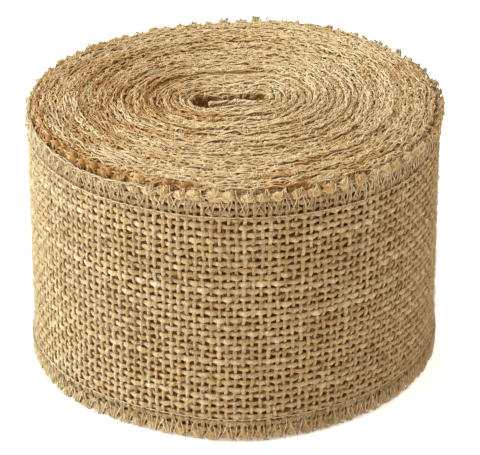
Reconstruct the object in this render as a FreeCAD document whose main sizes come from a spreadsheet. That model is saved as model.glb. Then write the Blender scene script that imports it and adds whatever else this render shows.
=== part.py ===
"""A coreless roll of woven jute ribbon with overlocked edges, standing on one edge.

The strip starts at a short inner end folded back into the lens-shaped eye, winds
outwards anticlockwise seen from above, and finishes in a free end that can be peeled
off the roll. Every stretch of the strip is built the same way, as seven bands: the
woven web and, at each long edge, the needle thread, the upper looper and the lower
looper of a three-thread overlock.

Frame: millimetres, +Z along the ribbon's width, origin at the centre of the resting
edge, -Y towards the front. The right-hand half turns share one centre line, and the
left-hand ones are set back by half a wrap, which makes the strip advance one wrap a turn.
"""
import FreeCAD
import Part
import math
import os

SIZES = {
    "ribbon_width": 76.2,         # across the strip, the height of the roll
    "roll_radius": 59.0,          # outer face of the last wrap
    "wrap_pitch": 2.475,          # growth of the radius in one turn
    "turns": 22,                  # whole turns from the inner end to the last half turn
    "eye_half_length": 7.5,       # half the straight run beside the eye, innermost wrap
    "web_thickness": 1.25,        # two crossing jute yarns, pressed together
    "thread_thickness": 0.24,     # overlock thread, pressed flat
    "needle_thread_width": 0.5,   # the straight stitch line, seen from the face
    "stitch_depth": 6.8,          # edge of the ribbon to the far side of the needle line
    "layer_gap": 0.05,            # air between the web and the threads on it
    "free_end_angle": 84.0,       # where the outer cut edge lies, from +X towards +Y
    "link_angle": 15.0,           # arc of the roll that one link of the free end covers
    "link_count": 5,              # links that stand in for the bending free end
    "link_gap": 0.15,             # between neighbouring links, at the outer face
    "inner_end_length": 14.0,     # the flap folded back into the eye
    "inner_end_gap": 0.4,         # between the flap and the first half turn
    "inner_end_lean": 3.0,        # the flap's slant away from the straight run beside it
}


def make_sheet(doc):
    """The spreadsheet of driving dimensions, one alias a row."""
    sheet = doc.addObject("Spreadsheet::Sheet", "sizes")
    for row, (alias, value) in enumerate(SIZES.items(), start=1):
        sheet.set(f"A{row}", alias)
        sheet.set(f"B{row}", str(value))
        sheet.setAlias(f"B{row}", alias)
    doc.recompute()
    return sheet


def face_offset():
    """Expression for the distance from the strip's middle to the inside of its threads."""
    return "(sizes.web_thickness / 2 + sizes.layer_gap)"


def bands():
    """The strip's seven bands: name, offsets across the strip, bottom and height, as expressions."""
    near = face_offset()
    far = f"({near} + sizes.thread_thickness)"
    needle_room = "(sizes.needle_thread_width + sizes.layer_gap)"
    looper_height = f"sizes.stitch_depth - {needle_room}"
    half_web = "sizes.web_thickness / 2"
    rows = [("web", f"-{half_web}", half_web, "0", "sizes.ribbon_width")]
    rows.append(("top_needle_thread", near, far,
                 "sizes.ribbon_width - sizes.stitch_depth", "sizes.needle_thread_width"))
    rows.append(("top_upper_looper", near, far,
                 f"sizes.ribbon_width - sizes.stitch_depth + {needle_room}", looper_height))
    rows.append(("top_lower_looper", f"-{far}", f"-{near}",
                 "sizes.ribbon_width - sizes.stitch_depth", "sizes.stitch_depth"))
    rows.append(("bottom_needle_thread", near, far,
                 "sizes.stitch_depth - sizes.needle_thread_width", "sizes.needle_thread_width"))
    rows.append(("bottom_upper_looper", near, far, "0", looper_height))
    rows.append(("bottom_lower_looper", f"-{far}", f"-{near}", "0", "sizes.stitch_depth"))
    return rows


def last_radius():
    """Expression for the middle of the strip in the last half turn."""
    return f"(sizes.roll_radius - {face_offset()} - sizes.thread_thickness)"


def place(piece, x="0", y="0", z="0", turn="0"):
    """Bind a piece's placement, measured from the centre of the right-hand half turns.

    The offsets bring the middle of the whole roll to the origin: the left side stands
    half a wrap further in, and the free end stops short of the back.
    """
    shift_x = "(sizes.wrap_pitch / 2 - sizes.eye_half_length / (2 * sizes.turns)) / 2"
    shift_y = "sizes.roll_radius * (1 - sin(sizes.free_end_angle * 1 deg)) / 2"
    piece.setExpression("Placement.Base.x", f"{x} - {shift_x}")
    piece.setExpression("Placement.Base.y", f"{y} + {shift_y}")
    piece.setExpression("Placement.Base.z", z)
    piece.setExpression("Placement.Rotation.Angle", f"({turn}) * 1 deg")


def winding_edges(sheet, offset):
    """Edges of the wound strip, at an offset outwards from its middle, from the eye out.

    Half turns alternate right and left, joined by straight runs along X that shorten to
    nothing at the outside. Each half turn's radius is half a wrap more than the last.
    """
    half_turns = 2 * int(sheet.turns)
    half_wrap = sheet.wrap_pitch / 2
    outer = sheet.roll_radius - sheet.web_thickness / 2 - sheet.layer_gap - sheet.thread_thickness
    fixed_end = sheet.free_end_angle - sheet.link_count * sheet.link_angle
    fixed_end -= math.degrees(sheet.link_gap / sheet.roll_radius)
    edges = []
    previous = None
    for index in range(half_turns + 1):
        right = index % 2 == 0
        run = sheet.eye_half_length * (1 - index / half_turns)
        radius = outer - (half_turns - index) * half_wrap + offset
        centre = FreeCAD.Vector(run, 0, 0) if right else FreeCAD.Vector(-run, -half_wrap, 0)
        start_angle = -90 if right else 90
        end_angle = fixed_end if index == half_turns else start_angle + 180
        circle = Part.Circle(centre, FreeCAD.Vector(0, 0, 1), radius)
        arc = Part.ArcOfCircle(circle, math.radians(start_angle), math.radians(end_angle))
        if previous is not None:
            edges.append(Part.LineSegment(previous, arc.StartPoint).toShape())
        edges.append(arc.toShape())
        previous = arc.EndPoint
    return edges


def wound_band(doc, sheet, name, inside, outside, bottom, height):
    """One band of the wound roll: its plan between two offset paths, extruded upwards."""
    inner = winding_edges(sheet, float(inside))
    outer = winding_edges(sheet, float(outside))
    eye_cap = Part.LineSegment(inner[0].firstVertex().Point, outer[0].firstVertex().Point)
    end_cap = Part.LineSegment(inner[-1].lastVertex().Point, outer[-1].lastVertex().Point)
    loop = outer + [end_cap.toShape()] + list(reversed(inner)) + [eye_cap.toShape()]
    plan = doc.addObject("Part::Feature", f"{name}_plan")
    plan.Shape = Part.Face(Part.Wire(loop))
    band = doc.addObject("Part::Extrusion", name)
    band.Base = plan
    band.DirMode = "Custom"
    band.Dir = FreeCAD.Vector(0, 0, 1)
    band.Solid = True
    band.setExpression("LengthFwd", height)
    place(band, z=bottom)
    return band


def link_band(doc, name, number, inside, outside, bottom, height):
    """One band of a free-end link: a slice of a tube about the right-hand centre."""
    walls = []
    for wall, offset in (("outside", outside), ("inside", inside)):
        cylinder = doc.addObject("Part::Cylinder", f"{name}_{wall}")
        cylinder.setExpression("Radius", f"{last_radius()} + ({offset})")
        cylinder.setExpression("Height", height)
        walls.append(cylinder)
    gap_angle = "sizes.link_gap / sizes.roll_radius * 180 / pi"
    walls[0].setExpression("Angle", f"(sizes.link_angle - {gap_angle}) * 1 deg")
    band = doc.addObject("Part::Cut", name)
    band.Base, band.Tool = walls
    links_left = f"(sizes.link_count - {number - 1})"
    place(band, z=bottom, turn=f"sizes.free_end_angle - {links_left} * sizes.link_angle")
    return band


def flap_band(doc, name, inside, outside, bottom, height):
    """One band of the inner end: a flat strip slanting across the eye from its hinge."""
    band = doc.addObject("Part::Box", name)
    band.setExpression("Length", "sizes.inner_end_length")
    band.setExpression("Width", f"({outside}) - ({inside})")
    band.setExpression("Height", height)
    turn = "(180 - sizes.inner_end_lean)"
    first_radius = f"({last_radius()} - sizes.turns * sizes.wrap_pitch)"
    hinge_x = "(sizes.eye_half_length - sizes.inner_end_gap)"
    corner_x = f"{hinge_x} - ({inside}) * sin({turn} * 1 deg)"
    corner_y = f"-{first_radius} + ({inside}) * cos({turn} * 1 deg)"
    place(band, corner_x, corner_y, bottom, turn)
    return band


def build(doc, sheet):
    """Every named piece: the roll's bands, the flap's bands and each link's bands."""
    pieces = []
    for band, inside, outside, bottom, height in bands():
        offsets = [evaluate(sheet, inside), evaluate(sheet, outside)]
        pieces.append(wound_band(doc, sheet, f"roll_{band}", *offsets, bottom, height))
    for band, inside, outside, bottom, height in bands():
        pieces.append(flap_band(doc, f"inner_end_{band}", inside, outside, bottom, height))
    for number in range(1, int(sheet.link_count) + 1):
        for band, inside, outside, bottom, height in bands():
            name = f"free_end_{number}_{band}"
            pieces.append(link_band(doc, name, number, inside, outside, bottom, height))
    return pieces


def evaluate(sheet, expression):
    """The number that an expression over the sheet's cells comes to."""
    return float(sheet.evalExpression(expression))


def check(doc, pieces):
    """Stop with a plain message unless every object is sound."""
    for item in doc.Objects:
        if "Invalid" in item.State or "Error" in item.State:
            raise RuntimeError(f"{item.Label} failed to recompute")
    for piece in pieces:
        if piece.Shape.isNull() or not piece.Shape.isValid() or len(piece.Shape.Solids) != 1:
            raise RuntimeError(f"{piece.Label} is not one valid solid")


def main():
    doc = FreeCAD.newDocument("ribbon_roll")
    sheet = make_sheet(doc)
    pieces = build(doc, sheet)
    doc.recompute()
    check(doc, pieces)
    os.makedirs("parts", exist_ok=True)
    for piece in pieces:
        piece.Shape.exportStep(f"parts/{piece.Label}.step")
    web = next(piece for piece in pieces if piece.Label == "roll_web")
    length = web.Shape.Volume / (sheet.web_thickness * sheet.ribbon_width)
    print(f"{len(pieces)} pieces; wound strip {length:.0f} mm long")


main()
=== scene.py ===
"""Looks of a coreless jute ribbon roll: real yarns, an overlocked edge and loose fibres.

Everything is first laid out on the flat strip, in strip coordinates (along, out, up):
metres along the ribbon from its first half turn, metres outwards from its middle plane,
and metres up from the resting edge. wind() then rolls the strip up along the CAD's winding.
"""
import math
from collections import namedtuple

import bpy
import numpy as np
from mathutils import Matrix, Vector


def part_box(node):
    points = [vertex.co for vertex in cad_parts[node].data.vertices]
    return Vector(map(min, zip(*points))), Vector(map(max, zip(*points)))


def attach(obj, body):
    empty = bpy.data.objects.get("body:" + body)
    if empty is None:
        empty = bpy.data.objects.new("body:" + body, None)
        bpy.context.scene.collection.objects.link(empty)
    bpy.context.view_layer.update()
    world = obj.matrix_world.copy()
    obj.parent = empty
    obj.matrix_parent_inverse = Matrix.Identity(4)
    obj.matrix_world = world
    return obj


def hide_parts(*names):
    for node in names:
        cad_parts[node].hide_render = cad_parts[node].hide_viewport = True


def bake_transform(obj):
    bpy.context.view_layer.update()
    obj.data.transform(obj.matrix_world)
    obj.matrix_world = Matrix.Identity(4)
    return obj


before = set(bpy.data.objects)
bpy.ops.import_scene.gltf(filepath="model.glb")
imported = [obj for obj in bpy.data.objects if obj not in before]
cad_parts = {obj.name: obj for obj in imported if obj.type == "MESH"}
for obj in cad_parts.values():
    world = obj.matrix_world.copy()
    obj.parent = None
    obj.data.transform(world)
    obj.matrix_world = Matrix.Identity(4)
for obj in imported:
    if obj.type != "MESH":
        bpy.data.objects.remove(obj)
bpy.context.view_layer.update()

MM = 0.001

# The winding, as the CAD has it
TURNS = 22
WRAP_PITCH = 2.475 * MM
EYE_HALF_LENGTH = 7.5 * MM
HALF_THICKNESS = 0.915 * MM    # middle plane to the outside of the threads
FREE_END_ANGLE = 84.0          # degrees from +X to the strip's outer cut
LINKS = 5
LINK_ANGLE = 15.0              # degrees
INNER_END_LENGTH = 14.0 * MM
INNER_END_LEAN = 3.0           # degrees
INNER_END_LEAN_IN = 1.5 * MM   # stretch over which that lean comes in
INNER_END_CURL = 1.8 * MM      # how far the inner end bows
STITCH_DEPTH = 6.8 * MM        # edge to needle line
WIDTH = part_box("roll_web")[1].z

# The weave
WARP_ROWS = 35
WARP_PITCH = WIDTH / WARP_ROWS
WEFT_PITCH = 2.26 * MM
YARN_HALF_WIDTH = 0.64 * MM
YARN_HALF_THICKNESS = 0.36 * MM
WEAVE_RISE = 0.34 * MM         # how far a yarn swings to each side of the middle plane
RINGS_PER_CROSSING = 5
WEFT_MARGIN = 0.9 * MM         # edge to where the woven part of a weft begins
PLAIN = {"sides": 6, "rings": 4}    # detail of the yarns that are seen only down the eye

# The overlock
STITCH = 2 * WEFT_PITCH
LOOPER_RADIUS = 0.14 * MM
NEEDLE_THREAD_RADIUS = 0.15 * MM
THREAD_SIDES = 5
STRAND_SIDES = 4

# The edges of the strip
TOP, BOTTOM = 1, -1
EDGES = (("top", TOP), ("bottom", BOTTOM))
RIM_MARGIN = 1.2 * MM          # edge to the first crossing of an inner wrap's wefts
RIM_DEPTH = 5.2 * MM           # edge to the last crossing of them that is modelled
PRESS_DEPTH = 1.5 * MM         # how far the outer wrap's top edge is pressed down
DRAW_IN = 2.2                  # millimetres by which the bottom edge is drawn in at most

# Where the roll changes as one goes round it: a bearing and a reach to each side of it, in degrees
# from +X, seen from above. The front is at -90, or 270, and the left at 180.
PRESSED_EDGE = (208, 52)       # the outer wrap's top edge is pressed down
BULGING_WRAP = (222, 58)       # the last wrap but one bulges over it
# The brown bearings below paint shade as well as brown: the shade the outer rim casts on the inner
# wraps, and a shadow line behind it
BROWN_SHADED_RIMS = (190, 90)         # the rims of the inner wraps are browner: brown lumps, and painted shade from the outer rim
BROWN_SHADED_TUFTS = (210, 68)        # the tufts of the last wrap but one are browner still: brown knots, and painted shadow behind the last wrap's rim
SHADOW_LINE_TUFTS = (279, 42)  # the same, more weakly: a painted shadow line behind the last wrap's front tufts
DRAWN_IN_RIGHT = (-50, 50)     # the bottom edge is drawn in
DRAWN_IN_FRONT = (-118, 32)    # the same, half as far
POINTED_TUFTS = (45, 95)       # the outer tufts end in points
LEANING_TUFTS = (5, 70)        # the outer tufts lean outwards
PAINTED_LIGHT_TUFTS = (35, 50)          # the outer tufts are painted lighter: painted light where they face away from the lamps
UPRIGHT_TUFTS = (15, 80)       # the inner tufts stand up


def chance(seed, yarn, knot=0):
    """A repeatable number from -1 to 1 for each yarn and knot."""
    mix = (np.asarray(yarn, np.int64) * 73856093) ^ (np.asarray(knot, np.int64) * 19349663)
    mix = (mix ^ (seed * 83492791)) & 0xFFFFFFFF
    for _ in range(3):
        mix = ((mix ^ (mix >> 16)) * 0x45D9F3B) & 0xFFFFFFFF
    return (mix ^ (mix >> 16)) / 0x7FFFFFFF - 1


def drift(seed, yarn, place, reach):
    """Smooth noise from -1 to 1 for each yarn, at places along it, changing over reach."""
    step = place / reach
    low = np.floor(step).astype(np.int64)
    share = step - low
    share = share * share * (3 - 2 * share)
    return chance(seed, yarn, low) * (1 - share) + chance(seed, yarn, low + 1) * share


def winding():
    """The strip's middle line: rows of start, length, x, y, radius (0 is straight) and angle."""
    half_turns = 2 * TURNS
    centre_x = -(WRAP_PITCH / 2 - EYE_HALF_LENGTH / half_turns) / 2
    outer_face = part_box("roll_top_upper_looper")[1].x - centre_x
    centre_y = outer_face * (1 - math.sin(math.radians(FREE_END_ANGLE))) / 2
    rows = []
    start = 0.0
    for index in range(half_turns + 1):
        side = 1 if index % 2 == 0 else -1
        run = EYE_HALF_LENGTH * (1 - index / half_turns)
        radius = outer_face - HALF_THICKNESS - (half_turns - index) * WRAP_PITCH / 2
        x = centre_x + side * run
        y = centre_y - (WRAP_PITCH / 2 if side < 0 else 0)
        if index:
            straight = run + EYE_HALF_LENGTH * (1 - (index - 1) / half_turns)
            rows.append((start, straight, x, y - side * radius, 0.0, -90.0 * side))
            start += straight
        sweep = FREE_END_ANGLE + 90 if index == half_turns else 180
        rows.append((start, math.radians(sweep) * radius, x, y, radius, -90.0 * side))
        start += math.radians(sweep) * radius
    return np.array(rows), start


RUNS, STRIP_END = winding()
LAST_START, LAST_RADIUS = RUNS[-1][0], RUNS[-1][4]


def strip_at(angle):
    """Distance along the strip where its last half turn stands at this angle, in degrees."""
    return LAST_START + math.radians(angle + 90) * LAST_RADIUS


# Places along the strip: where the modelled whole weave begins, a wrap and 100 degrees before the
# outer cut; where the last wrap but one and the last wrap begin; and where the free end's pieces do
YARN_START = strip_at(FREE_END_ANGLE - 360 - 100)
RIM_START = LAST_START - math.radians(720 - 90 - FREE_END_ANGLE) * LAST_RADIUS
OUTER_START = LAST_START - math.radians(360 - 90 - FREE_END_ANGLE) * LAST_RADIUS
TAIL_START = strip_at(FREE_END_ANGLE - (LINKS + 0.5) * LINK_ANGLE)
EYE_WEAVE_END = 76 * MM        # the innermost turn, whose whole weave is seen down the eye, ends here
ROPE_END = 15 * MM             # the inner end's curled edge goes on to here


def line_at(along):
    """Points of the strip's middle line and its outward normals, in plan."""
    run = RUNS[np.clip(np.searchsorted(RUNS[:, 0], along, side="right") - 1, 0, len(RUNS) - 1)]
    gone = along - run[..., 0]
    radius = run[..., 4]
    curved = radius > 0
    angle = np.radians(run[..., 5]) + np.where(curved, gone / np.where(curved, radius, 1), 0)
    normal = np.stack([np.cos(angle), np.sin(angle)], -1)
    tangent = np.stack([-normal[..., 1], normal[..., 0]], -1)
    point = run[..., 2:4] + normal * radius[..., None]
    point = point - tangent * np.where(curved, 0, run[..., 1] - gone)[..., None]
    inside = along < 0
    lean = math.radians(INNER_END_LEAN) * np.clip(-along[inside] / INNER_END_LEAN_IN, 0, 1)
    normal[inside] = np.stack([np.sin(-lean), -np.cos(lean)], -1)
    first = RUNS[0][2:4] - np.array([0, RUNS[0][4]])
    point[inside] = first - along[inside][:, None] * np.stack([-np.cos(lean), np.sin(lean)], -1)
    point[inside, 1] += INNER_END_CURL * np.sin(0.8 * np.pi * along[inside] / INNER_END_LENGTH) ** 2
    return point, normal


def bearing(along):
    """Direction in which the strip lies from the middle of the roll, in degrees from +X."""
    point, _ = line_at(along)
    return np.degrees(np.arctan2(point[..., 1], point[..., 0]))


def near(angle, middle, reach):
    """1 at a bearing, falling smoothly to 0 at reach degrees to either side of it."""
    apart = np.abs((angle - middle + 180) % 360 - 180)
    return 0.5 + 0.5 * np.cos(np.pi * np.clip(apart / reach, 0, 1))


def pressed(along):
    """Where the outer wrap's top edge has been pressed down, from 0 to 1: at the front left."""
    outermost = np.clip((along - OUTER_START) / (20 * MM), 0, 1)
    return np.clip(1.7 * near(bearing(along), *PRESSED_EDGE), 0, 1) * outermost


def lift(along, angle):
    """How far the strip stands off the table: inner wraps settle unevenly, higher on the right."""
    side = 0.75 + 0.55 * np.cos(angle + 0.3)
    rough = 0.55 * drift(11, 0, along, 210 * MM) + 0.25 * drift(12, 0, along, 40 * MM)
    fade = np.clip((STRIP_END - 100 * MM - along) / (900 * MM), 0, 1)
    return np.maximum(side + rough, 0.05) * MM * fade


def wind(points):
    """Strip coordinates (along, out, up) rolled up into the row frame."""
    along, out, up = points[..., 0], points[..., 1], points[..., 2]
    middle, normal = line_at(along)
    flat = middle + normal * out[..., None]
    angle = np.arctan2(flat[..., 1], flat[..., 0])
    far = np.hypot(flat[..., 0], flat[..., 1]) / LAST_RADIUS
    over = np.clip((up - WIDTH) / STITCH_DEPTH + 1, 0, 1.3)
    tuck = near(np.degrees(angle), *DRAWN_IN_RIGHT) + 0.5 * near(np.degrees(angle), *DRAWN_IN_FRONT)
    swell = 0.50 * (np.cos(angle) - np.cos(3 * angle)) + 0.16 * np.sin(5 * angle)
    swell = swell + 0.10 * np.sin(8 * angle + 1)
    swell = swell - DRAW_IN * tuck * np.clip(1 - up / WIDTH, 0, 1) ** 1.5
    up = up - PRESS_DEPTH * pressed(along) * over
    flat = flat * (1 + swell * MM / LAST_RADIUS * np.clip(far, 0, 1))[..., None]
    return np.concatenate([flat, (up + lift(along, angle))[..., None]], -1)


def circle(sides):
    """A tube's round profile, its seam on the inner side."""
    turn = np.arange(sides) / sides * 2 * np.pi - np.pi / 2
    return np.stack([np.cos(turn), np.sin(turn)], -1)


class Piece:
    """Tubes laid out on the strip, which become one mesh object."""

    def __init__(self, name):
        self.name = name
        self.points, self.tones, self.quads, self.caps, self.uvs = [], [], [], [], []
        self.count = 0

    def tubes(self, centre, wide, thick, profile, tone, rough=0.10):
        """Closed tubes. centre, wide and thick are (yarns, rings, 3); tone is (yarns, rings)."""
        yarns, rings = centre.shape[:2]
        sides = len(profile)
        vertex = np.arange(yarns * rings * sides).reshape(yarns, rings, sides)
        hairy = 1 + rough * chance(900, vertex[..., None])
        ring = (centre[:, :, None] + hairy * profile[:, :1] * wide[:, :, None]
                + hairy * profile[:, 1:] * thick[:, :, None])
        self.points.append(ring.reshape(-1, 3))
        tone = np.broadcast_to(tone, (yarns, rings))
        self.tones.append(np.repeat(tone.reshape(-1), sides))
        index = self.count + vertex
        after = np.roll(index, -1, axis=2)
        quads = np.stack([index[:, :-1], after[:, :-1], after[:, 1:], index[:, 1:]], -1)
        self.quads.append(quads.reshape(-1, 4))
        steps = np.linalg.norm(np.diff(centre, axis=1), axis=-1)
        far = np.concatenate([np.zeros((yarns, 1)), np.cumsum(steps, 1)], 1) / MM
        around = np.arange(sides + 1) / sides
        shape = (yarns, rings - 1, sides)
        u = [np.broadcast_to(side[:, :, None], shape) for side in (far[:, :-1], far[:, 1:])]
        v = [np.broadcast_to(side, shape) for side in (around[:-1], around[1:])]
        corners = [(u[0], v[0]), (u[0], v[1]), (u[1], v[1]), (u[1], v[0])]
        self.uvs.append(np.stack([np.stack(corner, -1) for corner in corners], -2).reshape(-1, 2))
        self.caps.extend(np.concatenate([index[:, 0, ::-1], index[:, -1]]))
        self.count += yarns * rings * sides

    def thread(self, path, radius, sides, tone, reference):
        """Round tubes along paths of any direction, never parallel to the reference."""
        tangent = np.gradient(path, axis=1)
        wide = np.cross(tangent, reference)
        wide = wide / np.linalg.norm(wide, axis=-1, keepdims=True)
        thick = np.cross(tangent, wide)
        thick = thick / np.linalg.norm(thick, axis=-1, keepdims=True)
        size = np.broadcast_to(radius, path.shape[:2])[..., None]
        self.tubes(path, wide * size, thick * size, circle(sides), tone)

    def build(self, material, slot, replaces=(), body=None, smooth=True):
        """The mesh object, rolled up. It rides on the body, if one is given."""
        points = wind(np.concatenate(self.points))
        quads = np.concatenate(self.quads)
        sizes = np.concatenate([np.full(len(quads), 4), [len(cap) for cap in self.caps]])
        corners = np.concatenate([quads.ravel(), *self.caps])
        mesh = bpy.data.meshes.new(self.name)
        mesh.vertices.add(len(points))
        mesh.vertices.foreach_set("co", points.astype(np.float32).ravel())
        mesh.loops.add(len(corners))
        mesh.loops.foreach_set("vertex_index", corners.astype(np.int32))
        mesh.polygons.add(len(sizes))
        starts = np.concatenate([[0], np.cumsum(sizes)[:-1]])
        mesh.polygons.foreach_set("loop_start", starts.astype(np.int32))
        mesh.polygons.foreach_set("use_smooth", np.full(len(sizes), smooth))
        uv = np.zeros((len(corners), 2), np.float32)
        uv[:4 * len(quads)] = np.concatenate(self.uvs)
        mesh.uv_layers.new(name="yarn").data.foreach_set("uv", uv.ravel())
        tone = mesh.attributes.new("tone", "FLOAT", "POINT")
        tone.data.foreach_set("value", np.concatenate(self.tones).astype(np.float32))
        mesh.update(calc_edges=True)
        mesh.materials.append(material)
        obj = bpy.data.objects.new(self.name, mesh)
        bpy.context.scene.collection.objects.link(obj)
        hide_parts(*replaces)
        if body:
            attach(obj, body)
        return obj


def strip(along, out, up):
    """Strip coordinates from three arrays that broadcast together."""
    return np.stack(np.broadcast_arrays(along, out, up), -1)


def weft_place(weft):
    """Where a weft yarn crosses the strip, counted back from the free end."""
    return STRIP_END - (weft + 0.5) * WEFT_PITCH


def wefts_between(low, high):
    """The weft yarns whose places lie from low to high."""
    first = math.ceil((STRIP_END - high) / WEFT_PITCH - 0.5)
    last = math.ceil((STRIP_END - low) / WEFT_PITCH - 0.5)
    return np.arange(first, last)


def yarn_shape(seed, yarn, place):
    """Half width, half thickness and tone along a hand-spun yarn, with slubs and thin stretches."""
    own = chance(seed, yarn)
    slub = drift(seed + 1, yarn, place, 7 * MM)
    grain = drift(seed + 2, yarn, place, 1.9 * MM)
    size = 1 + 0.08 * own + 0.17 * slub + 0.14 * grain
    tone = 0.5 + 0.07 * own + 0.08 * slub + 0.12 * drift(seed + 3, yarn, place, 3.1 * MM)
    return YARN_HALF_WIDTH * size, YARN_HALF_THICKNESS * (0.4 + 0.6 * size), tone


# shade lowers the yarns' tone: painted shade, for yarns seen down the shaded eye
def warp_yarns(piece, rows, low, high, sides=8, rings=RINGS_PER_CROSSING, shade=0.0):
    """Warp yarns run along the ribbon, over and under the wefts."""
    count = max(2, round((high - low) / WEFT_PITCH * rings) + 1)
    along = np.linspace(low, high, count)[None]
    row = np.asarray(rows)[:, None]
    wide, thick, tone = yarn_shape(100, row, along)
    swing = np.cos(np.pi * ((along - weft_place(0)) / WEFT_PITCH + row))
    out = 1.10 * WEAVE_RISE * swing
    up = (row + 0.5) * WARP_PITCH + 0.26 * MM * drift(110, row, along, 6 * MM)
    up = up + 0.35 * MM * drift(111, 0, along, 60 * MM)
    wide = wide * (1.06 + 0.14 * swing)
    zero = np.zeros_like(wide)
    piece.tubes(strip(along, out, up), strip(zero, 0, wide), strip(0, thick, zero),
                circle(sides), tone + shade + 0.02)


def weft_yarns(piece, wefts, low, high, sides=8, rings=RINGS_PER_CROSSING, shade=0.0):
    """Weft yarns cross the ribbon, under and over the warps."""
    count = max(3, round((high - low) / WARP_PITCH * rings) + 1)
    up = np.linspace(low, high, count)[None]
    weft = np.asarray(wefts)[:, None]
    wide, thick, tone = yarn_shape(200, weft, up)
    swing = np.cos(np.pi * (up / WARP_PITCH - 0.5 + weft))
    along = weft_place(weft) + 0.34 * MM * drift(210, weft, up, 5 * MM)
    along = along + 0.5 * MM * drift(211, 0, up + 0 * weft, 30 * MM)
    wide = wide * (0.78 - 0.06 * swing)
    zero = np.zeros_like(wide)
    piece.tubes(strip(along, -0.85 * WEAVE_RISE * swing, up), strip(wide, 0, zero),
                strip(zero, thick, 0), circle(sides), tone + shade - 0.02)


def edge_up(edge, inset):
    """Height of a point that lies inset from the top or the bottom edge."""
    return WIDTH - inset if edge == TOP else np.maximum(inset, 0.1 * MM)


Tuft = namedtuple("Tuft", "middle pointed height depth lean slant neat tone")


def top_tuft(tuft):
    """The shapes of the top edge's tufts: blunt knots at the left, points at the right and back."""
    middle = (tuft + 0.5) * STITCH + 0.70 * MM * chance(300, tuft)
    angle = bearing(middle)
    uneven = 0.75 + 0.40 * chance(311, tuft) + 0.3 * drift(312, 0, middle, 26 * MM)
    knot = beside_outer(middle) * np.clip(uneven, 0, 1)
    pointed = np.clip(near(angle, *POINTED_TUFTS) + 0.18 * knot, 0, 1)
    height = 1.08 + 0.22 * chance(303, tuft) - 0.12 * pointed + 0.34 * knot
    height = height * (1 - 0.6 * pressed(middle))
    depth = 1.0 - 0.4 * pointed + 0.3 * knot
    lean = 0.8 * MM * near(angle, *LEANING_TUFTS) + 0.7 * MM * knot
    # Browner in brown patches and in painted shade, on the left and along the last wrap but one
    tone = 0.53 + 0.10 * chance(310, tuft) - 0.46 * brown_and_shade_patch(middle)
    # Lighter at the back right: painted light where the tufts face away from the lamps
    tone = tone + 0.25 * near(angle, *PAINTED_LIGHT_TUFTS)
    return Tuft(middle, pointed, height, depth, lean, 0.0, 0.95 - 0.40 * knot, tone)


def bottom_tuft(tuft):
    """The shapes of the bottom edge's tufts, which are flatter and combed a little to one side."""
    middle = (tuft + 0.5) * STITCH + 0.45 * MM * chance(350, tuft)
    height = 0.98 + 0.14 * chance(351, tuft)
    lean = 0.25 * MM + 0.20 * MM * chance(352, tuft)
    slant = -0.4 * MM + 0.5 * MM * chance(353, tuft)
    return Tuft(middle, 0.30, height, 0.7, lean, slant, 1.0, 0.58 + 0.15 * chance(354, tuft))


# Shapes, strands, root inset, core width, core rise, strand reach and fan in degrees, by edge
TUFTS = {TOP: (top_tuft, 26, 2.5 * MM, 1.9 * MM, 2.8 * MM, 3.2 * MM, 72.0),
         BOTTOM: (bottom_tuft, 17, 2.6 * MM, 1.75 * MM, 2.3 * MM, 2.9 * MM, 80.0)}
# Chances set apart for each tuft, weft end and stitch: more than any of them uses
TUFT_KEYS, WEFT_KEYS, STITCH_KEYS = 64, 31, 16
# Reference directions for Piece.thread: for strands that lie along a rim, and for all others
ALONG_RIM = (0.05, 1, 0.02)
ANY_WAY = (0.1, 1, 0.2)


def tufts(piece, edge, low, high):
    """Frayed weft ends of the outer wraps: dense soft cores under fanned strands."""
    shapes, strands, root, core_width, core_rise, strand_reach, fan_angle = TUFTS[edge]
    number = np.arange(math.ceil(low / STITCH - 0.5), math.ceil(high / STITCH - 0.5))[:, None]
    tuft = shapes(number)
    share = np.array([0, 0.25, 0.5, 0.75, 0.93, 1.0])
    girth = np.array([0.70, 0.95, 1.0, 0.82, 0.50, 0.12])
    wide = core_width * girth * (1 - 0.85 * tuft.pointed * share) * (1 + 0.28 * chance(309, number))
    thick = 1.0 * MM * girth * tuft.depth + 0 * tuft.middle
    path = strip(tuft.middle + tuft.slant * share, (0.5 * MM * tuft.depth + tuft.lean) * share,
                 edge_up(edge, root - core_rise * tuft.height * share))
    zero = np.zeros_like(wide)
    piece.tubes(path, strip(wide, 0, zero), strip(zero, thick, 0), circle(10),
                tuft.tone - 0.16 + 0 * share, rough=0.28)

    key = (number * TUFT_KEYS + np.arange(strands)).reshape(-1, 1)
    tuft = shapes(key // TUFT_KEYS)
    share = np.array([0, 0.35, 0.65, 0.88, 1.0])
    fan = np.radians(fan_angle * (1 - 0.76 * tuft.pointed)) * chance(301, key)
    reach = (strand_reach + 0.50 * MM * chance(304, key)) * tuft.height * tuft.neat
    across = 0.58 * core_width * chance(305, key) * (1 - share) + reach * np.sin(fan) * share * 0.76
    rise = reach * np.cos(fan * share) * share
    curl = np.array([0.3, 0.95, 1.15, 0.85, 0.5])
    out = (1.25 * chance(302, key) * curl + 0.5 * share) * MM * tuft.depth + tuft.lean * share
    wander = 0.17 * MM * chance(306, key * len(share) + np.arange(len(share)))
    size = np.array([0.8, 1.1, 1.15, 0.95, 0.5]) * (0.17 + 0.05 * chance(307, key)) * MM
    path = strip(tuft.middle + tuft.slant * share + across + wander, out, edge_up(edge, root - rise))
    tone = tuft.tone + 0.16 * chance(308, key) + 0.06 * share
    piece.thread(path, size, STRAND_SIDES, tone, reference=ANY_WAY)


def beside_outer(along):
    """Where the last wrap but one bulges over the last one's pressed edge, from 0 to 1."""
    return near(bearing(along), *BULGING_WRAP) * (along > RIM_START) * (along < OUTER_START)


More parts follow.
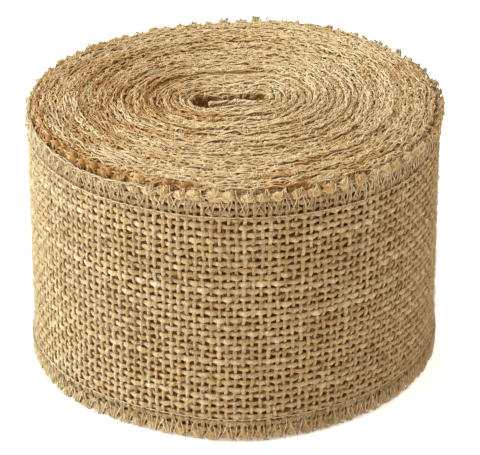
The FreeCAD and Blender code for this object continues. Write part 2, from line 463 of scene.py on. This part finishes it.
def brown_and_shade_patch(along):
    """Where the rims of the inner wraps are browner: random brown patches, and painted shade, most of
    it on the left and in a shadow line along the last wrap but one.
    """
    angle = bearing(along)
    patch = 0.80 * near(angle, *BROWN_SHADED_RIMS) + 0.85 * drift(330, 0, along, 10 * MM) - 0.1
    tufts_brown_and_shade = near(angle, *BROWN_SHADED_TUFTS) + 0.7 * near(angle, *SHADOW_LINE_TUFTS)
    patch = patch + tufts_brown_and_shade * (along > RIM_START)
    return np.clip(patch, 0, 1) * (along < OUTER_START)


ROOMY_FROM = 70 * MM           # nearer to the inner end the strands have less room
SNUG_TO = 1300 * MM            # up to here the wraps are drawn tight
SNUG_FADE = 800 * MM           # and over this stretch they become looser


def snug(along):
    """How far the rim strands spread across their wrap: the inner wraps are drawn tighter."""
    return 0.74 + 0.26 * np.clip((along - SNUG_TO) / SNUG_FADE, 0, 1)


def combed_tufts(piece, edge, low, high, strands):
    """Frayed weft ends of the inner wraps, pressed between neighbours and bent along the rim."""
    weft = np.repeat(wefts_between(low, high), strands)[:, None]
    strand = np.tile(np.arange(strands), len(weft) // strands)[:, None]
    key = weft * WEFT_KEYS + strand
    place = weft_place(weft)
    room = np.clip(place / ROOMY_FROM, 0, 1)
    lean = (1.2 + 1.0 * chance(311, key)) * np.where(chance(312, key) > -0.3, 1, -1)
    upright = near(bearing(place), *UPRIGHT_TUFTS) * 0.7
    tip = 0.60 + 0.30 * chance(313, key) + 0.35 * upright
    share = np.array([0, 0.4, 0.75, 1.0])
    inset = (2.2 * (1 - share) ** 1.5 - tip * np.sin(np.pi * 0.62 * share)) * MM
    along = place + 0.5 * MM * chance(314, key) + lean * MM * share ** 2 * (1.35 - upright)
    out = (0.45 + 0.75 * room * share) * snug(place) * chance(315, key) * MM
    out = out + 0.15 * MM * chance(316, key * 5 + np.arange(len(share)))
    size = np.array([0.9, 1.3, 1.2, 0.6]) * (0.28 + 0.09 * chance(317, key)) * MM
    # Browner in brown patches and in painted shade, on the left and along the last wrap but one
    tone = 0.57 + 0.15 * chance(318, key) - 0.45 * brown_and_shade_patch(place) + 0 * share
    path = strip(along, out, edge_up(edge, inset))
    piece.thread(path, size, STRAND_SIDES, tone, reference=ANY_WAY)


def rim_strands(piece, edge, low, high, strands):
    """Loops of edge yarn and thread that lie along the rim, dipping in and out of the tufts."""
    along = np.arange(low, high, 0.95 * MM)[None]
    strand = np.arange(strands)[:, None]
    room = np.clip(along / ROOMY_FROM, 0.45, 1)
    across = (strand + 0.5) / strands * 2 - 1 + 0.52 * drift(320, strand, along, 1.9 * MM)
    rise = 0.50 - 0.30 * across ** 2 + 0.40 * drift(321, strand, along, 1.8 * MM)
    rise = rise + 0.45 * drift(322, strand, along, 5.0 * MM)
    size = (0.28 + 0.09 * drift(323, strand, along, 2.4 * MM)) * MM
    # Browner in brown patches and in painted shade, on the left and along the last wrap but one
    tone = 0.56 + 0.13 * drift(324, strand, along, 5 * MM) - 0.35 * brown_and_shade_patch(along)
    path = strip(along, across * 1.1 * MM * room * snug(along), edge_up(edge, -rise * MM))
    piece.thread(path, size, STRAND_SIDES, tone, reference=ALONG_RIM)


def rim_cord(piece, edge, low, high):
    """Plies where the loopers lock together, drawn tight along the rim itself."""
    along = np.arange(low, high, 0.8 * MM)[None]
    ply = np.arange(4)[:, None]
    out = (0.70 - 0.55 * ply / 3 + 0.30 * drift(342, ply, along, 2.3 * MM)) * MM
    rise = 0.10 + 0.55 * drift(340, ply, along, 1.9 * MM) + 0.30 * drift(343, 0, along, 4.4 * MM)
    tone = 0.66 + 0.22 * drift(341, ply, along, 4 * MM)
    size = (0.12 + 0.06 * drift(344, ply, along, 3 * MM)) * MM
    path = strip(along, out, edge_up(edge, -rise * MM))
    piece.thread(path, size, THREAD_SIDES, tone, reference=ALONG_RIM)


def rope(piece, edge, low, high):
    """The edge of the folded inner end, curled into a three-ply rope."""
    along = np.arange(low, high, 0.35 * MM)[None]
    ply = np.arange(3)[:, None]
    turn = 2 * np.pi * (along / (4.6 * MM) + ply / 3 + 0.25 * drift(361, 0, along, 3 * MM))
    rise = (0.30 + 0.36 * np.sin(turn) + 0.22 * drift(362, ply, along, 1.5 * MM)) * MM
    tone = 0.66 + 0.14 * drift(360, ply, along, 2 * MM)
    path = strip(along, 0.38 * MM * np.cos(turn), edge_up(edge, -rise))
    radius = (0.33 + 0.08 * drift(363, ply, along, 1.3 * MM)) * MM
    piece.thread(path, radius, 6, tone, reference=ALONG_RIM)


LOOP = np.array([  # share of a stitch, out and inset in millimetres, inset also in stitch depths
    (0.00, 0.80, -0.25, 1.0), (0.20, 0.95, 0.0, 0.68), (0.40, 0.97, 0.0, 0.36),
    (0.60, 0.90, 0.5, 0.0), (0.655, 0.15, -0.85, 0.0), (0.68, -0.80, 0.5, 0.0),
    (0.72, -0.80, 0.5, 0.0), (0.745, 0.15, -0.85, 0.0), (0.79, 0.90, 0.5, 0.0),
    (0.87, 0.95, 0.0, 0.34), (0.94, 0.92, 0.0, 0.66)])
LOOPS = {"upper_looper": (LOOP, 0.0, 500),
         "lower_looper": (LOOP[::-1] * (-1, 1, 1, 1) + (1, 0, 0, 0), 0.5, 510)}
LOOPER_STRAY = {TOP: 0.38 * MM, BOTTOM: 0.20 * MM}    # how far along the strip a loop strays
LOOPER_STANDOFF = {TOP: 0.0, BOTTOM: 0.35}            # millimetres that it stands further out


def looper(piece, edge, low, high, name):
    """A looper thread: slanting from the needle line over the rim and back; the two cross."""
    loop, phase, seed = LOOPS[name]
    stitches = np.arange(math.floor(low / STITCH) - 1, math.ceil(high / STITCH))[:, None]
    key = stitches * STITCH_KEYS + np.arange(len(loop))
    along = (stitches + loop[:, 0] + phase) * STITCH + LOOPER_STRAY[edge] * chance(seed, key)
    out = (loop[:, 1] + LOOPER_STANDOFF[edge]) * MM + 0.06 * MM * chance(seed + 1, key)
    inset = loop[:, 2] * MM + loop[:, 3] * STITCH_DEPTH + 0.40 * MM * chance(seed + 2, key)
    inset = np.where(pressed(along) * (edge == TOP) > 0.3, np.maximum(inset, -0.3 * MM), inset)
    path = strip(along, out, edge_up(edge, inset)).reshape(1, -1, 3)
    keep = (path[0, :, 0] > low) & (path[0, :, 0] < high)
    tone = 0.5 + 0.3 * drift(seed + 3, 0, path[:, keep, 0], 9 * MM)
    piece.thread(path[:, keep], LOOPER_RADIUS, THREAD_SIDES, tone, reference=(1, 0.02, 0.03))


def needle_thread(piece, edge, low, high):
    """The needle thread: a straight line of stitches that dips through the cloth at each hole."""
    along = np.arange(low, high, STITCH / 6)
    dip = np.clip(np.cos(2 * np.pi * along / STITCH) * 3 - 2, 0, 1)
    inset = STITCH_DEPTH + 0.20 * MM * drift(400, 0, along, 14 * MM)
    path = strip(along, (0.90 - 0.45 * dip) * MM, edge_up(edge, inset))[None]
    piece.thread(path, NEEDLE_THREAD_RADIUS, THREAD_SIDES, 0.62, reference=(0, 0, 1))


def fibres(piece, seed, count, low, high, up_low, up_high, reach, out=0.6):
    """Loose fibres up to reach long that curl off the cloth, starting out millimetres from it."""
    key = np.arange(count)[:, None]
    along = (low + high) / 2 + (high - low) / 2 * chance(seed, key)
    up = (up_low + up_high) / 2 + (up_high - up_low) / 2 * chance(seed + 1, key)
    turn = np.pi * chance(seed + 2, key)
    share = np.linspace(0, 1, 6)
    length = reach * (0.6 + 0.4 * chance(seed + 3, key))
    bend = turn + 1.4 * chance(seed + 4, key) * share
    rise = (out + 0.9 * (0.5 + 0.5 * chance(seed + 5, key)) * np.sin(np.pi * 0.62 * share)) * MM
    path = strip(along + length * share * np.cos(bend), rise,
                 np.clip(up + length * share * np.sin(bend), 0.2 * MM, WIDTH + 2.2 * MM))
    radius = (0.045 + 0.015 * chance(seed + 6, key)) * MM * (1 - 0.6 * share)
    piece.thread(path, radius, 3, 0.75 + 0.2 * chance(seed + 7, key), reference=ANY_WAY)


def new_material(name, roughness, sheen):
    """A dull material with its node tree and shader."""
    material = bpy.data.materials.new(name)
    material.use_nodes = True
    tree = material.node_tree
    shader = tree.nodes["Principled BSDF"]
    shader.inputs["Roughness"].default_value = roughness
    shader.inputs["Specular IOR Level"].default_value = 0.25
    shader.inputs["Sheen Weight"].default_value = sheen
    shader.inputs["Sheen Roughness"].default_value = 0.55
    shader.inputs["Sheen Tint"].default_value = (1.0, 0.96, 0.90, 1)
    return material, tree, shader


def node(tree, kind, inputs=None, **settings):
    """A node with its settings and its inputs, which are values or sockets."""
    made = tree.nodes.new(kind)
    for name, value in settings.items():
        setattr(made, name, value)
    for name, value in (inputs or {}).items():
        if isinstance(value, bpy.types.NodeSocket):
            tree.links.new(value, made.inputs[name])
        else:
            made.inputs[name].default_value = value
    return made


def compute(tree, operation, *inputs):
    """The result of a math node."""
    return node(tree, "ShaderNodeMath", dict(enumerate(inputs)), operation=operation).outputs[0]


def ramp(tree, factor, stops):
    """A colour ramp with stops of place and colour."""
    made = node(tree, "ShaderNodeValToRGB", {0: factor})
    elements = made.color_ramp.elements
    elements[0].position, elements[0].color = stops[0][0], (*stops[0][1], 1)
    elements[1].position, elements[1].color = stops[-1][0], (*stops[-1][1], 1)
    for place, colour in stops[1:-1]:
        elements.new(place).color = (*colour, 1)
    return made


def yarn_material(name, stops, twist, streak, bump, sheen):
    """Spun fibre: streaks along the yarn, a twist round it and a colour that drifts."""
    material, tree, shader = new_material(name, 0.88, sheen)
    tone = node(tree, "ShaderNodeAttribute", attribute_name="tone")
    uv = node(tree, "ShaderNodeUVMap", uv_map="yarn")
    parts = node(tree, "ShaderNodeSeparateXYZ", {0: uv.outputs[0]})
    along, around = parts.outputs[0], parts.outputs[1]
    lay = compute(tree, "MULTIPLY_ADD", along, twist, around)
    across = compute(tree, "MULTIPLY", lay, 9.0)
    length = compute(tree, "MULTIPLY", along, 0.45)
    own = compute(tree, "MULTIPLY", tone.outputs["Fac"], 61.0)
    place = node(tree, "ShaderNodeCombineXYZ", {0: length, 1: across, 2: own})
    grain = node(tree, "ShaderNodeTexNoise", {"Vector": place.outputs[0], "Scale": 1.0, "Detail": 3.0,
                                              "Roughness": 0.6})
    spot = node(tree, "ShaderNodeTexCoord")
    fleck = node(tree, "ShaderNodeTexNoise", {"Vector": spot.outputs["Object"], "Scale": 1500.0,
                                              "Detail": 2.0})
    flecked = compute(tree, "MULTIPLY_ADD", fleck.outputs["Fac"], streak * 0.6, tone.outputs["Fac"])
    mixed = compute(tree, "MULTIPLY_ADD", grain.outputs["Fac"], streak, flecked)
    centred = compute(tree, "SUBTRACT", mixed, streak * 0.8)
    colour = ramp(tree, centred, stops)
    raised = node(tree, "ShaderNodeBump", {"Height": grain.outputs["Fac"], "Strength": bump,
                                           "Distance": 0.35 * MM})
    tree.links.new(colour.outputs[0], shader.inputs["Base Color"])
    tree.links.new(raised.outputs[0], shader.inputs["Normal"])
    return material


def core_material():
    """The deeper wraps, seen only through the holes and between the edges, darker and redder than the
    jute: painted shade. Paler near the top rim: painted light on the shaded gaps, except down the eye.
    """
    material, tree, shader = new_material("jute_deep", 0.95, 0.1)
    uv = node(tree, "ShaderNodeUVMap", uv_map="yarn")
    grain = node(tree, "ShaderNodeTexNoise", {"Vector": uv.outputs[0], "Scale": 2.2, "Detail": 4.0})
    spot = node(tree, "ShaderNodeTexCoord")
    height = node(tree, "ShaderNodeSeparateXYZ", {0: spot.outputs["Object"]})
    tone = node(tree, "ShaderNodeAttribute", attribute_name="tone")
    # Painted light: the colour is paler over the top 2.5 mm, where the shaded gaps between the rims
    # show it
    rim = node(tree, "ShaderNodeMapRange", {"Value": height.outputs[2], "From Min": WIDTH - 2.5 * MM,
                                            "From Max": WIDTH - 1.0 * MM, "To Max": 0.4})
    paler = compute(tree, "MULTIPLY_ADD", rim.outputs[0], tone.outputs["Fac"], grain.outputs["Fac"])
    colour = ramp(tree, paler, DEEP_SHADED_STOPS)
    tree.links.new(colour.outputs[0], shader.inputs["Base Color"])
    return material


JUTE_STOPS = [(0.0, (0.21, 0.085, 0.010)), (0.22, (0.41, 0.210, 0.050)), (0.50, (0.52, 0.340, 0.140)),
              (0.75, (0.655, 0.500, 0.275)), (1.0, (0.83, 0.72, 0.54))]
RIM_STOPS = [(0.0, (0.30, 0.125, 0.018)), (0.20, (0.48, 0.260, 0.075)), (0.38, (0.57, 0.385, 0.175)),
             (0.70, (0.64, 0.490, 0.280)), (1.0, (0.70, 0.580, 0.400))]
THREAD_STOPS = [(0.0, (0.38, 0.24, 0.10)), (0.5, (0.62, 0.45, 0.25)), (1.0, (0.80, 0.65, 0.43))]
# The deep cloth's colours are darker and redder than the jute's: painted shade. The last stop, reached
# only near the top rim, is painted light
DEEP_SHADED_STOPS = [(0.3, (0.22, 0.085, 0.014)), (0.7, (0.46, 0.235, 0.066)), (1.0, (0.62, 0.400, 0.170))]
JUTE = yarn_material("jute_yarn", JUTE_STOPS, twist=0.55, streak=1.3, bump=1.0, sheen=0.35)
RIM = yarn_material("jute_rim", RIM_STOPS, twist=0.55, streak=0.8, bump=0.6, sheen=0.30)
THREAD = yarn_material("overlock_thread", THREAD_STOPS, twist=1.6, streak=0.5, bump=0.5, sheen=0.2)
DEEP = core_material()


def weave(name, low, high, **detail):
    """A piece with the full weave of a stretch of the strip."""
    piece = Piece(name)
    warp_yarns(piece, range(WARP_ROWS), low, high, **detail)
    weft_yarns(piece, wefts_between(low, high), WEFT_MARGIN, WIDTH - WEFT_MARGIN, **detail)
    return piece


def overlocks(stretch, low, high):
    """The threads of a bending stretch, one piece to an edge."""
    built = []
    for name, edge in EDGES:
        piece = Piece(f"{stretch}_{name}_overlock")
        for thread in LOOPS:
            looper(piece, edge, low, high, thread)
        needle_thread(piece, edge, low, high)
        nodes = [f"{stretch}_{name}_{thread}" for thread in ("needle_thread", *LOOPS)]
        built.append(piece.build(THREAD, "overlock_thread", nodes))
    return built


def middle_point(along):
    """The wound strip's middle point at a place along it."""
    return wind(strip(np.array([along]), 0, WIDTH / 2))[0]


def deep_cloth():
    """The wound cloth below the modelled yarns: one plain strip, seen only in the gaps."""
    piece = Piece("wound_cloth")
    along = np.arange(0.0, YARN_START, 1.2 * MM)
    sheet = np.array([(1, -1), (1, 1), (-1, 1), (-1, -1)], float)
    centre = strip(along, 0, WIDTH / 2)[None]
    half = WIDTH / 2 - 0.3 * MM
    in_the_eye = along < EYE_WEAVE_END
    thick = np.where(in_the_eye, 0.42, 1.05) * MM
    # The tone attribute switches the painted light near the top rim on, except down the eye
    tone = np.where(in_the_eye, 0.0, 1.0)[None]
    piece.tubes(centre, strip(0 * along, 0, half)[None], strip(0 * along, thick, 0)[None],
                sheet, tone, rough=0)
    return piece.build(DEEP, "jute_web", body="roll", smooth=False)


def outer_wrap():
    """The full weave of the last wrap and of what the free end lies on."""
    parts = []
    for number, rows in enumerate(np.array_split(np.arange(WARP_ROWS), 4), start=1):
        piece = Piece(f"warp_yarns_{number}")
        warp_yarns(piece, rows, YARN_START, TAIL_START)
        parts.append(piece)
    for number, wefts in enumerate(np.array_split(wefts_between(YARN_START, TAIL_START), 4), start=1):
        piece = Piece(f"weft_yarns_{number}")
        weft_yarns(piece, wefts, WEFT_MARGIN, WIDTH - WEFT_MARGIN)
        parts.append(piece)
    built = [piece.build(JUTE, "jute_web", body="roll") for piece in parts]
    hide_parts("roll_web")
    return built


RIM_STRANDS = {TOP: (6, 4), BOTTOM: (2, 2)}    # strands to a weft end, and strands along each wrap


def inner_edges(edge, name):
    """The rim of the inner wraps: the warps nearest the edge, weft ends, tufts and strands."""
    rows = (WARP_ROWS - 1, WARP_ROWS - 2) if edge == TOP else (0, 1)
    warps = Piece(f"{name}_edge_warps")
    warp_yarns(warps, rows, 0.0, YARN_START, sides=5, rings=3)
    wefts = Piece(f"{name}_edge_wefts")
    low, high = sorted((edge_up(edge, RIM_MARGIN), edge_up(edge, RIM_DEPTH)))
    weft_yarns(wefts, wefts_between(0.0, YARN_START), low, high, sides=5, rings=3)
    made = [warps, wefts]
    to_a_weft, along_rim = RIM_STRANDS[edge]
    middle = 0.52 * OUTER_START    # the rims are cut in two here, so that no mesh is too large
    for part, start, end in (("inner", 0.0, middle), ("middle", middle, OUTER_START)):
        tuft = Piece(f"{name}_{part}_tufts")
        combed_tufts(tuft, edge, start, end, to_a_weft)
        strands = Piece(f"{name}_{part}_strands")
        rim_strands(strands, edge, start, end, along_rim)
        if edge == TOP and start == 0.0:
            rope(strands, edge, 0.0, ROPE_END)
        made += [tuft, strands]
    return [piece.build(RIM, "jute_web", body="roll") for piece in made]


CORD_FROM, CORD_TO = -195, -108    # bearings between which the last wrap's rim is a tight cord


def edges(edge, name):
    """An overlocked edge of the whole roll: its frayed rim and three threads."""
    built = inner_edges(edge, name)
    piece = Piece(f"{name}_outer_tufts")
    tufts(piece, edge, RIM_START, TAIL_START)
    if edge == TOP:
        rim_cord(piece, edge, strip_at(CORD_FROM), strip_at(CORD_TO))
    built.append(piece.build(RIM, "jute_web", body="roll"))
    for thread in LOOPS:
        piece = Piece(f"{name}_{thread}_thread")
        looper(piece, edge, 0.0, TAIL_START, thread)
        built.append(piece.build(THREAD, "overlock_thread", [f"roll_{name}_{thread}"], "roll"))
    piece = Piece(f"{name}_needle_stitches")
    needle_thread(piece, edge, 0.0, TAIL_START)
    built.append(piece.build(THREAD, "overlock_thread", [f"roll_{name}_needle_thread"], "roll"))
    return built


def free_end_span(number):
    """The free end from the middle of one link to the middle of the next, bent at their hinge."""
    hinge_angle = FREE_END_ANGLE - (LINKS - number + 1) * LINK_ANGLE
    low = strip_at(hinge_angle - LINK_ANGLE / 2)
    last = number == LINKS
    high = STRIP_END if last else strip_at(hinge_angle + LINK_ANGLE / 2)
    link = f"free_end_{number}"
    web = weave(f"{link}_yarns", low, high)
    for _, edge in EDGES:
        tufts(web, edge, low, high)
    fibres(web, 900 + 10 * number, 60, low, high, 0.0, WIDTH, 6 * MM)
    pieces = [web.build(JUTE, "jute_web", [f"{link}_web"]), *overlocks(link, low, high)]
    bend = 0.45 * LINK_ANGLE
    start = middle_point(strip_at(hinge_angle - bend))
    end = middle_point(strip_at(hinge_angle + bend))
    for piece in pieces:
        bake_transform(piece)
    return pieces


def inner_end():
    """The inner end, folded back into the eye."""
    low = -INNER_END_LENGTH
    # Its tone is lowered: painted shade, for the inner end lies in the shaded eye
    web = weave("inner_end_yarns", low, 0.0, shade=-0.12, **PLAIN)
    for _, edge in EDGES:
        rope(web, edge, low, 0.0)
    pieces = [web.build(RIM, "jute_web", ["inner_end_web"]), *overlocks("inner_end", low, 0.0)]
    start = middle_point(0.0)
    end = middle_point(-2.5 * MM)
    for piece in pieces:
        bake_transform(piece)
    return pieces


def eye_weave():
    """The whole weave of the innermost turn, which is seen down the eye."""
    piece = Piece("eye_yarns")
    wefts = wefts_between(0.0, EYE_WEAVE_END)
    # Tone lowered: painted shade for the shaded inside of the eye
    warp_yarns(piece, range(WARP_ROWS - 2), 0.0, EYE_WEAVE_END, shade=-0.25, **PLAIN)
    weft_yarns(piece, wefts, WEFT_MARGIN, WIDTH - RIM_DEPTH, shade=-0.25, **PLAIN)
    return piece.build(RIM, "jute_web", body="roll")


def roll_fuzz():
    """Loose fibres on the outer wrap and on the top rims."""
    length = 5 * MM
    start = YARN_START + 80 * MM
    outer = [Piece(f"loose_fibres_{number}") for number in (1, 2)]
    for number, piece in enumerate(outer):
        fibres(piece, 700 + 10 * number, 4500, start, TAIL_START, 0.5 * MM, WIDTH, length)
    top = Piece("top_loose_fibres")
    fibres(top, 720, 2600, 0.0, YARN_START, WIDTH - 1.5 * MM, WIDTH + 0.6 * MM, length, out=0.0)
    return [piece.build(RIM, "jute_web", body="roll") for piece in (*outer, top)]


TABLE_HEIGHT = -0.2 * MM
LAMPS = (  # name, place, size in metres, watts and colour
    ("key", (-1.5, -0.40, 0.90), 1.3, 24, (0.86, 0.94, 1.0)),
    ("left rim", (-1.7, 0.25, 0.55), 0.7, 26, (0.50, 0.74, 1.0)),
    ("overhead", (0.1, 0.1, 0.75), 0.8, 1.2, (1.0, 0.93, 0.80)))
CAMERA_ELEVATION = 27.4        # degrees above the table
CAMERA_DISTANCE = 826 * MM
CAMERA_RIGHT = 1.7             # millimetres from the roll's middle to the view's, to the right
CAMERA_DOWN = 1.6              # and downwards
LENS, SENSOR = 215, 36         # millimetres


def white_room():
    """A world like a photo tent: white paper overhead and low down, grey walls darker at the right."""
    world = bpy.data.worlds.new("studio")
    world.use_nodes = True
    tree = world.node_tree
    way = node(tree, "ShaderNodeTexCoord")
    parts = node(tree, "ShaderNodeSeparateXYZ", {0: way.outputs["Generated"]})
    sideways = compute(tree, "MULTIPLY_ADD", parts.outputs[0], 0.5, 0.5)
    walls = ramp(tree, sideways, [(0.0, (0.50, 0.50, 0.49)), (1.0, (0.110, 0.085, 0.045))])
    paper = ramp(tree, sideways, [(0.0, (1.10, 1.17, 1.24)), (1.0, (1.30, 1.15, 0.98))])
    height = ramp(tree, parts.outputs[2], [(0.05, (0.85, 0.85, 0.85)), (0.14, (0, 0, 0)),
                                           (0.50, (0, 0, 0)), (0.90, (1, 1, 1))])
    room = node(tree, "ShaderNodeMixRGB", {0: height.outputs[0], 1: walls.outputs[0],
                                           2: paper.outputs[0]})
    tree.links.new(room.outputs[0], tree.nodes["Background"].inputs["Color"])
    return world


def studio():
    """White table, soft white room and large soft lights from the left."""
    scene = bpy.context.scene
    floor_mesh = bpy.data.meshes.new("table")
    far = 30
    floor_mesh.from_pydata([(-far, -far, 0), (far, -far, 0), (far, far, 0), (-far, far, 0)],
                           [], [(0, 1, 2, 3)])
    floor = bpy.data.objects.new("table", floor_mesh)
    floor.location.z = TABLE_HEIGHT
    scene.collection.objects.link(floor)
    material, tree, shader = new_material("table_white", 0.9, 0.0)
    grain = node(tree, "ShaderNodeTexNoise", {"Scale": 3.0})
    colour = ramp(tree, grain.outputs["Fac"], [(0.0, (0.90, 0.90, 0.90)), (1.0, (0.92, 0.92, 0.92))])
    tree.links.new(colour.outputs[0], shader.inputs["Base Color"])
    shader.inputs["Emission Color"].default_value = (1, 1, 1, 1)
    shader.inputs["Emission Strength"].default_value = 0.35
    floor_mesh.materials.append(material)
    scene.world = white_room()
    scene.view_settings.view_transform = "Standard"
    scene.view_settings.look = "Medium High Contrast"
    middle = Vector((0, 0, WIDTH / 2))
    for name, place, size, power, colour in LAMPS:
        light = bpy.data.lights.new(name, "AREA")
        light.size = size
        light.energy = power
        light.color = colour
        lamp = bpy.data.objects.new(name, light)
        lamp.location = place
        lamp.rotation_euler = (middle - Vector(place)).to_track_quat("-Z", "Y").to_euler()
        scene.collection.objects.link(lamp)


def camera():
    """A long lens, looking down on the roll from the front."""
    elevation = math.radians(CAMERA_ELEVATION)
    target = Vector((0, 0, WIDTH / 2))
    back = Vector((0, -math.cos(elevation), math.sin(elevation)))
    up = Vector((0, math.sin(elevation), math.cos(elevation)))
    data = bpy.data.cameras.new("camera")
    data.lens = LENS
    data.sensor_width = SENSOR
    view = bpy.data.objects.new("camera", data)
    right = Vector((1, 0, 0))
    view.location = target + back * CAMERA_DISTANCE + right * CAMERA_RIGHT * MM - up * CAMERA_DOWN * MM
    view.rotation_euler = (math.pi / 2 - elevation, 0, 0)
    bpy.context.scene.collection.objects.link(view)
    bpy.context.scene.camera = view


camera()
studio()
cloth = deep_cloth()
pieces = outer_wrap()
for name, edge in EDGES:
    pieces += edges(edge, name)
pieces += inner_end()
for number in range(1, LINKS + 1):
    pieces += free_end_span(number)
pieces += [eye_weave(), *roll_fuzz()]
